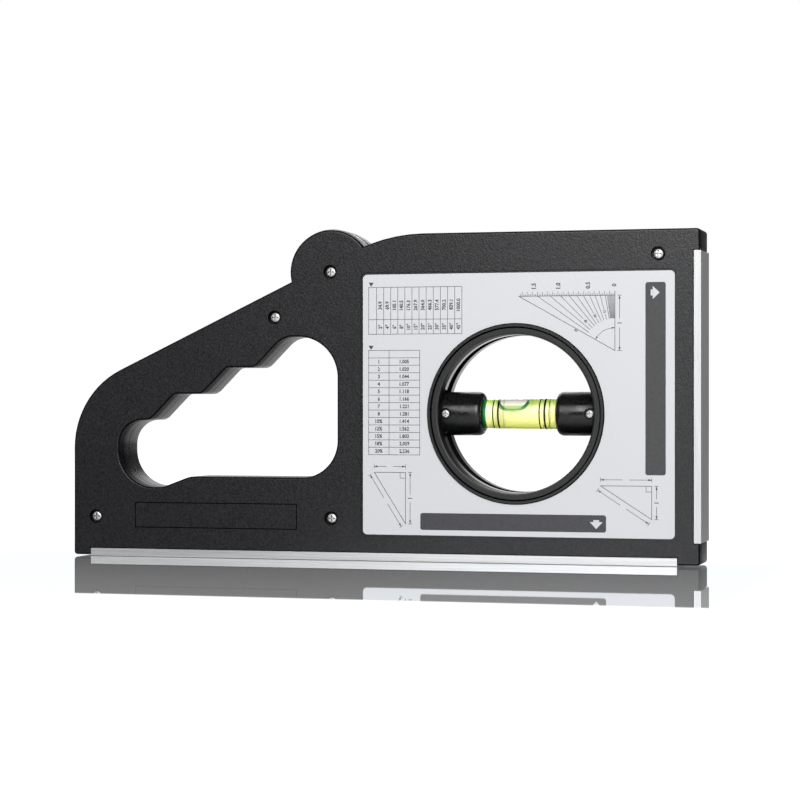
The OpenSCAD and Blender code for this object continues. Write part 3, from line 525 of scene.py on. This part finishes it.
# Fan of slopes: a level scale, with three divisions to a tenth, over the fan's foot
foot, scale_left, scale_z, tenth = (50.3, 31.2), 2.1, 58.4, 2.59
long_tick, short_tick = 2.0, 0.9
ink.path([(scale_left, scale_z), foot, (foot[0], scale_z + long_tick), (foot[0], scale_z),
          (scale_left, scale_z)], OUTLINE_PEN)
for k in range(1, 56):
    x = foot[0] - tenth * k / 3
    tick = long_tick if k % 3 == 0 else short_tick
    ink.line((x, scale_z), (x, scale_z + tick), SCALE_PEN)


def fan_point(angle, height):
    """The point at height over the foot on the fan's line at angle from the vertical."""
    return foot[0] - height * math.tan(math.radians(angle)), foot[1] + height


# The fan's lines start on a circle round the foot; three of them are open round their number
rise, open_radius, digits = scale_z - foot[1], 16.0, 1.3
number_heights = {15: 19.2, 30: 17.1, 45: 14.6}
for angle in range(10, 60, 5):
    start = fan_point(angle, open_radius * math.cos(math.radians(angle)))
    if angle in number_heights:
        height = number_heights[angle]
        ink.line(start, fan_point(angle, height - digits))
        ink.line(fan_point(angle, height + digits), fan_point(angle, rise))
        ink.number(str(angle), *fan_point(angle, height), digits, angle - 90)
    else:
        ink.line(start, fan_point(angle, rise))
for angle in range(1, 9):
    ink.line(fan_point(angle, open_radius), fan_point(angle, rise - 0.3), 0.2)
ink.number("60", 30.9, 41.4, digits, -30)

# The arc with an arrow at each end, which crosses the fan's open part
arc_radius, arc_head = 11.2, 1.5
ink.arc(foot, arc_radius, 91, 149, SCALE_PEN)
ink.arrow((foot[0], foot[1] + arc_radius), 0, arc_head)
ink.arrow((foot[0] - 9.7, foot[1] + 5.6), 236, arc_head)

# The scale's numbers
for value, place in (("1.5", 9.6), ("1.0", 21.9), ("0.5", 36.8), ("0", 49.9)):
    ink.number(value, place, scale_z + 5.0, 2.1, 90)

# The fan's height, as a dimension line beside it
x = 52.6
ink.line((x, foot[1]), (x, 42.5))
ink.line((x, 47.0), (x, scale_z))
for z, turn in ((foot[1], 270), (scale_z, 90)):
    ink.arrow((x, z), turn)
    ink.line((x - 1, z), (x + 1, z))
ink.number("1", x, 44.7, 2.0, 90)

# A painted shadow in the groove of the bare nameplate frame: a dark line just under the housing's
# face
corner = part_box("rear_housing")[0]
x0, z0 = (corner[0] - RING.x) / MM + 34.55, (corner[2] - RING.z) / MM + 14.75
x1, z1 = x0 + 87.8, z0 + 12.8
outline = Print(-FACE_Y + 0.05 * MM, -1)
outline.path([(x0, z0), (x1, z0), (x1, z1), (x0, z1), (x0, z0)], 0.44)
outline.build("nameplate_groove_shadow", GROOVE, "frame")

# Two dark bars with a white arrow each
BAR_CORNER = 1.2
ink.bar(-48.6, -58.3, 45.9, -49.8, BAR_CORNER)
ink.bar(65.4, -29.9, 75.4, 64.6, BAR_CORNER)
ink.build("label_print_dark", INK, "frame")
pale.build("label_print_fine", PALE_INK, "frame")
arrows = Print(label_y - 0.02 * MM, -1)
head = [(0, 0), (-3.4, 3.2), (-3.4, -3.2)]
stem = [(-3.3, 1.45), (-4.4, 1.45), (-4.4, -1.45), (-3.3, -1.45)]
for tip, turn in (((41.0, -56.6), -90), ((72.4, 59.5), 0)):
    arrows.turned_polygon(head, tip, turn)
    arrows.turned_polygon(stem, tip, turn)
arrows.build("label_print_arrows", LABEL, "frame")


# ---------- Print on the dial side ----------
def on_dial(radius, degree):
    turn = math.radians(degree)
    return radius * math.sin(turn), radius * math.cos(turn)


# A degree scale on the dial, from 0 to 90 and back in each half
scale = Print(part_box("toothed_dial")[1][1] + FILM, 1)
NUMBERS, TENS, FIVES, ONES, OUTER = 48.0, 51.5, 53.0, 54.2, 55.6
for degree in range(360):
    inner, width = (TENS, 0.32) if degree % 10 == 0 else (FIVES if degree % 5 == 0 else ONES, 0.2)
    scale.line(on_dial(inner, degree), on_dial(OUTER, degree), width)
for degree in range(0, 360, 10):
    value = min(degree % 180, 180 - degree % 180)
    scale.number(str(value), *on_dial(NUMBERS, degree), 2.6, -degree)
scale.build("dial_print", INK, "ring")


# ---------- Vial ----------
tube_low, tube_high = (Vector(c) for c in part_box("vial_tube"))
vial = (tube_low + tube_high) / 2
length = tube_high.x - tube_low.x
half, radius = length / 2 / MM, (tube_high.z - tube_low.z) / 2 / MM
liquid_low, liquid_high = (Vector(c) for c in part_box("vial_liquid"))
liquid_half = (liquid_high.x - liquid_low.x) / 2 / MM

# Between the sockets, whose mouths are at MOUTH, the tube is a little thicker
MOUTH, SHOULDER, CHAMFER = 18.7, 0.3, 0.6
full = radius + 0.4
# The tube's wall magnifies the liquid to the tube's full width, so that is how wide it is here
WALL = 0.08
bore, narrow_bore = full - WALL, radius - WALL
# The bubble's length and place along the vial, and how far down it reaches
BUBBLE_HALF, BUBBLE_MID, BUBBLE_LOW, BUBBLE_STEPS = 7.9, -3.1, 1.3, 24

SIDES = 72
CIRCLE = [(math.cos(a), math.sin(a)) for a in (2 * math.pi * k / SIDES for k in range(SIDES))]
# Each point of the circle and the next one
AROUND = [(k, (k + 1) % SIDES) for k in range(SIDES)]


def vial_point(x, y, z):
    """A point given in millimetres from the vial's middle."""
    return vial.x + x * MM, vial.y + y * MM, vial.z + z * MM


def skin(below, above):
    """The quads between two circles of points, given by the numbers of their first points."""
    return [(below + k, above + k, above + n, below + n) for k, n in AROUND]


def add_piece(name, verts, faces, material):
    """A piece that turns with the ring."""
    piece = add_mesh(name, verts, faces, material)
    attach(piece, "ring")
    return piece


def lathe(name, profile, material):
    """A closed solid turned about the vial's axis; profile holds (x, radius)."""
    verts = [vial_point(x, r * c, r * s) for x, r in profile for c, s in CIRCLE]
    faces = []
    for i in range(len(profile) - 1):
        faces += skin(i * SIDES, (i + 1) * SIDES)
    last = (len(profile) - 1) * SIDES
    faces += [tuple(range(SIDES)), tuple(last + k for k in reversed(range(SIDES)))]
    piece = add_piece(name, verts, faces, material)
    for face in piece.data.polygons:
        face.use_smooth = len(face.vertices) == 4
    return piece


# The tube's colour is painted shade, greener below and darker above, with a painted reflex of a
# printed ring at two places
glass = Material("vial_yellow_green_acrylic")
tone = glass.ramp(glass.coordinate("Generated", "Z"), [
    (0.0, (0.76, 0.84, 0.5)), (0.07, (0.94, 0.96, 0.72)), (0.25, (0.99, 0.99, 0.9)),
    (0.55, (1.0, 1.0, 0.96)), (0.78, (0.99, 1.0, 0.94)), (0.86, (0.95, 0.96, 0.9)),
    (0.97, (0.9, 0.91, 0.86)), (1.0, (0.85, 0.87, 0.8))])
rings_low, rings_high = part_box("vial_rings")
reflexes, edge = [], 0.18 * MM / length
for x, shade in ((rings_low[0] + 5.6 * MM, (0.5, 0.55, 0.3)),
                 (rings_high[0] + 2.1 * MM, (0.22, 0.24, 0.09))):
    at = (x - tube_low.x) / length
    reflexes += [(at - 2 * edge, 1.0), (at - edge, shade),
                 (at + edge, shade), (at + 2 * edge, 1.0)]
reflex = glass.ramp(glass.coordinate("Generated", "X"), reflexes)
glass.set({"Base Color": glass.mix(1.0, tone, reflex, "MULTIPLY"),
           "Roughness": glass.map_range(glass.noise(90.0, 1.0), 0.02, 0.05),
           "IOR": 1.03, "Transmission Weight": 1.0,
           "Coat Weight": 0.12, "Coat Roughness": 0.04, "Coat IOR": 1.45})
rod = lathe("vial_body", [
    (-half, radius - CHAMFER), (-half + CHAMFER, radius), (-MOUTH, radius),
    (-MOUTH + SHOULDER, full), (MOUTH - SHOULDER, full), (MOUTH, radius),
    (half - CHAMFER, radius), (half, radius - CHAMFER)], glass.data)
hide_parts("vial_tube")

# The green plugs; the left one shows in its socket's mouth
PLUG_RADIUS = 6.4
for name, profile in (
        ("vial_plug_left", [(-half + 1, PLUG_RADIUS), (-MOUTH, PLUG_RADIUS),
                            (-MOUTH + 0.1, full - 0.1), (-MOUTH + 1.8, full - 0.1)]),
        ("vial_plug_right", [(MOUTH + 1.25, PLUG_RADIUS), (half - 1, PLUG_RADIUS)])):
    plug = lathe(name, profile, PLUG)
    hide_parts("vial_plugs")

# The printed rings just under the tube's surface, each given by its middle and its width
outer, inner = full - 0.02, full - 0.07
verts, faces = [], []
for x, wide in ((-13.2, 0.6), (-10.55, 0.85), (10.55, 0.6), (13.2, 0.95)):
    start = len(verts)
    low, high = x - wide / 2, x + wide / 2
    verts += [vial_point(x, r * c, r * s)
              for x, r in ((low, inner), (high, inner), (high, outer), (low, outer))
              for c, s in CIRCLE]
    for row in range(4):
        faces += skin(start + row * SIDES, start + (row + 1) % 4 * SIDES)
bands = add_piece("vial_ring_bands", verts, faces, MARK)
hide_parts("vial_rings")


def bubble_edge(x):
    """Height of the bubble's underside at x, or the top of the bore beyond its ends."""
    place = (x - BUBBLE_MID) / BUBBLE_HALF
    if abs(place) >= 1:
        return bore
    return bore - (bore - BUBBLE_LOW) * (1 - place * place) ** 0.45


bubble_xs = [BUBBLE_MID + BUBBLE_HALF * math.cos(math.pi * k / BUBBLE_STEPS)
             for k in range(BUBBLE_STEPS, -1, -1)]

# The bubble is the hollow that the liquid leaves under the tube's top: level below, with
# rounded ends
LIQUID = Material("vial_yellow_green_liquid")
LIQUID.set({
    # Painted shade: darker and greener at the bottom and in a band at the top, paler in the middle
    "Base Color": LIQUID.ramp(LIQUID.coordinate("Generated", "Z"), [
        (0.0, (0.5, 0.55, 0.16)), (0.08, (0.76, 0.8, 0.24)), (0.3, (0.93, 0.93, 0.4)),
        (0.5, (0.97, 0.97, 0.51)), (0.72, (0.98, 0.99, 0.68)), (0.79, (0.68, 0.8, 0.3)),
        (0.88, (0.46, 0.62, 0.14)), (1.0, (0.42, 0.56, 0.16))]),
    "Roughness": LIQUID.map_range(LIQUID.noise(120.0, 1.0), 0.02, 0.05),
    "IOR": 1.02,
    "Transmission Weight": LIQUID.map_range(LIQUID.coordinate("Generated", "X"),
                                            0.05, 0.55, 0.02, 0.16)})
stations = [(x, bore) for x in [-liquid_half] + bubble_xs + [MOUTH - SHOULDER]]
stations += [(MOUTH, narrow_bore), (liquid_half + 3.0, narrow_bore)]
verts = [vial_point(x, wide * s, min(wide * c, bubble_edge(x)))
         for x, wide in stations for c, s in CIRCLE]
last = (len(stations) - 1) * SIDES
faces = [(at + k, at + n, at + SIDES + n, at + SIDES + k)
         for at in range(0, last, SIDES) for k, n in AROUND]
faces += [tuple(reversed(range(SIDES))), tuple(last + k for k in range(SIDES))]
liquid = add_piece("vial_liquid_body", verts, faces, LIQUID.data)
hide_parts("vial_liquid")

# Air in the hollow, whose colour is painted light and shade: grey-white above, greener towards the
# liquid
AIR = Material("vial_bubble_air")
AIR.set({
    "Base Color": AIR.ramp(AIR.coordinate("Generated", "Z"), [
        (0.0, (0.14, 0.3, 0.06)), (0.22, (0.36, 0.52, 0.2)), (0.4, (0.46, 0.58, 0.28)),
        (0.5, (0.8, 0.8, 0.7)), (0.72, (0.62, 0.6, 0.56)), (0.86, (0.48, 0.47, 0.45)),
        (1.0, (0.7, 0.7, 0.68))]),
    "Roughness": AIR.map_range(AIR.noise(300.0, 1.0), 0.1, 0.18),
    "Transmission Weight": 0.3, "IOR": 1.02})
air_radius, row = bore - 0.05, BUBBLE_STEPS + 1
verts = []
for x in bubble_xs:
    # Each row is an arc that ends at the liquid; at the bubble's ends it keeps a little width
    reach = math.acos(min(bubble_edge(x), bore * 0.998) / bore)
    for k in range(row):
        a = reach * (2 * k / BUBBLE_STEPS - 1)
        verts.append(vial_point(x, air_radius * math.sin(a), air_radius * math.cos(a)))
faces, last = [], (len(bubble_xs) - 1) * row
for at in range(0, last, row):
    faces += [(k, k + row, k + row + 1, k + 1) for k in range(at, at + BUBBLE_STEPS)]
    faces.append((at + BUBBLE_STEPS, at + row + BUBBLE_STEPS, at + row, at))
faces += [tuple(range(row)), tuple(last + k for k in reversed(range(row)))]
add_piece("vial_bubble", verts, faces, AIR.data)

# The bubble's outline is painted shade: dark green towards its ends, light green below its middle
RIM = Material("vial_bubble_rim_shade")
along = RIM.map_range(RIM.coordinate("Object", "X"), 0.0, 1.0,
                      vial.x + (BUBBLE_MID - BUBBLE_HALF) * MM,
                      vial.x + (BUBBLE_MID + BUBBLE_HALF) * MM)
RIM.set({
    "Base Color": RIM.ramp(along, [
        (0.0, (0.01, 0.1, 0.015)), (0.2, (0.015, 0.13, 0.02)), (0.36, (0.2, 0.38, 0.06)),
        (0.66, (0.22, 0.4, 0.07)), (0.84, (0.02, 0.16, 0.02)), (1.0, (0.01, 0.11, 0.015))]),
    "Roughness": RIM.map_range(RIM.noise(400.0, 1.0), 0.25, 0.35)})
# A thin dark line of painted shade runs beside the outline
LINE = painted("vial_bubble_shade_line", (0.03, 0.075, 0.012), 0.4, spread=0.2)


def bubble_outline(name, material, wide, shift, swell, lift):
    """A flat line on the bore, shift outside the bubble's edge; swell widens it at the ends."""
    verts, faces, r = [], [], bore + lift
    for side in (-1, 1):
        # The bubble's edge on the bore rolled out flat
        line = [Vector((x, side * bore * math.acos(min(1, bubble_edge(x) / bore))))
                for x in bubble_xs]
        start = len(verts)
        for k, point in enumerate(line):
            along = line[min(k + 1, len(line) - 1)] - line[max(k - 1, 0)]
            out = Vector((-along.y, along.x)).normalized() * side
            place = abs(point.x - BUBBLE_MID) / BUBBLE_HALF
            reach = wide / 2 * (1 + swell * math.exp(-((place - 0.8) / 0.25) ** 2))
            for off in (shift - reach, shift + reach):
                x, turn = point.x + out.x * off, (point.y + out.y * off) / bore
                verts.append(vial_point(x, r * math.sin(turn), r * math.cos(turn)))
        for at in range(start, len(verts) - 2, 2):
            faces.append((at, at + 1, at + 3, at + 2))
    add_piece(name, verts, faces, material)


# Two strips of painted shade along the bubble's edge
bubble_outline("vial_bubble_rim_shade", RIM.data, 1.0, -0.1, 0.9, 0.02)
bubble_outline("vial_bubble_shade_line", LINE, 0.28, -0.65, 0.0, 0.04)


# ---------- Stage, lights, camera ----------
# The floor is a white gloss board: it mirrors the object just in front of it, keeps a faint
# shadow, and is otherwise white to the camera and to what is seen through or in clear pieces
floor = Material("floor_white_gloss")
floor.set({"Base Color": (0.25, 0.25, 0.25, 1), "Roughness": 0.6, "Specular IOR Level": 0.0})
matt = floor.shader.outputs["BSDF"]
x, y = (floor.coordinate("Object", axis) for axis in "XY")
near = floor.ramp(floor.map_range(y, 0.0, 1.0, -0.3, 0.1),
                  [(0.155, 0.0), (0.17, 0.84), (0.76, 0.92), (0.84, 0.0)])
between = floor.map_range(floor.calc("ABSOLUTE", x), 1.0, 0.0, 0.2, 0.22)
mirror = floor.add("BsdfGlossy", {"Roughness": 0.02, "Color": (0.96, 0.985, 1, 1)})
white = floor.add("Emission", {"Strength": floor.map_range(y, 0.92, 1.0, 0.05, 0.6)})
lit = floor.add("AddShader", {0: white.outputs["Emission"], 1: matt})
seen = floor.mix_shader(floor.calc("MULTIPLY", near, between),
                        lit.outputs["Shader"], mirror.outputs["BSDF"])
# Glossy rays meet the white board behind the object only, and not far to the right
rays = floor.add("LightPath", {}).outputs
board = floor.calc("MULTIPLY", rays["Is Glossy Ray"],
                   floor.map_range(x, 1.0, 0.0, 0.165, 0.19),
                   floor.map_range(y, 0.0, 1.0, -0.06, 0.02))
sight = floor.calc("MAXIMUM", rays["Is Camera Ray"], rays["Is Transmission Ray"], board)
either = floor.mix_shader(sight, matt, seen)
# In front of the object they meet a bright board that ends to the left, which the rails show
front = floor.calc("MULTIPLY", rays["Is Glossy Ray"],
                   floor.map_range(x, 0.0, 1.0, -0.09, 0.03),
                   floor.map_range(x, 1.0, 0.0, 0.4, 0.6),
                   floor.map_range(y, 1.0, 0.0, -0.03, -0.015))
glow = floor.add("Emission", {"Strength": 1.2})
surface = floor.nodes["Material Output"].inputs["Surface"]
floor.feed(surface, floor.mix_shader(front, either, glow.outputs["Emission"]))
REACH, FLOOR_Z = 6.0, -0.2 * MM
corners = [(-REACH, -REACH, FLOOR_Z), (REACH, -REACH, FLOOR_Z),
           (REACH, REACH, FLOOR_Z), (-REACH, REACH, FLOOR_Z)]
add_mesh("floor", corners, [(0, 1, 2, 3)], floor.data)

# A dim room with a white wall behind and to the left, for glossy rays; the camera, and what is
# seen through clear pieces, meets plain white, and other rays an even grey
world = bpy.data.worlds.new("studio")
world.use_nodes = True
scene.world = world
room = Graph(world.node_tree)
view = room.add("TexCoord", {}).outputs["Generated"]
to_wall = room.add("VectorMath", {0: view, 1: Vector((-0.5, 0.85, 0.12)).normalized()},
                   operation="DOT_PRODUCT")
walls = room.ramp(room.map_range(to_wall.outputs["Value"], 0.0, 1.0, -1.0, 1.0),
                  [(0.0, 0.2), (0.5, 0.1), (0.9, 0.12), (0.945, 1.0)])
rays = room.add("LightPath", {}).outputs
direct = room.calc("MAXIMUM", rays["Is Camera Ray"], rays["Is Transmission Ray"])
sky = room.mix(direct, walls, (1, 1, 1, 1))
sharp = room.calc("MAXIMUM", direct, rays["Is Glossy Ray"])
background = room.nodes["Background"].inputs
room.feed(background["Color"], room.mix(sharp, (0.16, 0.16, 0.16, 1), sky))
room.feed(background["Strength"], 1.0)


def softbox(name, place, target, size, radiance):
    """A soft rectangular light, given by the brightness of its face."""
    light = bpy.data.lights.new(name, "AREA")
    light.shape = "RECTANGLE"
    light.size, light.size_y = size
    light.energy = radiance * math.pi * size[0] * size[1]
    box = bpy.data.objects.new(name, light)
    box.location = place
    box.rotation_euler = (Vector(target) - Vector(place)).to_track_quat("-Z", "Y").to_euler()
    box.visible_camera = False
    scene.collection.objects.link(box)


softbox("front_light", (0.4, -1.6, 1.02), (0.06, 0, 0.08), (1.75, 1.1), 4.8)
softbox("front_low_light", (0.5, -1.6, 0.6), (0.1, 0, 0.08), (1.1, 0.26), 6.5)
softbox("back_light", (-0.5, 1.6, 1.4), (0, 0, 0.08), (1.7, 1.1), 3.6)

camera_data = bpy.data.cameras.new("camera")
camera_data.lens = 105
camera_data.sensor_width = 36
camera_data.clip_start = 0.01
camera = bpy.data.objects.new("camera", camera_data)
camera.location = (0.32573, -1.14621, 0.08116)
camera.rotation_euler = (math.radians(90), 0, math.radians(15.456))
scene.collection.objects.link(camera)
scene.camera = camera
scene.view_settings.view_transform = "Standard"
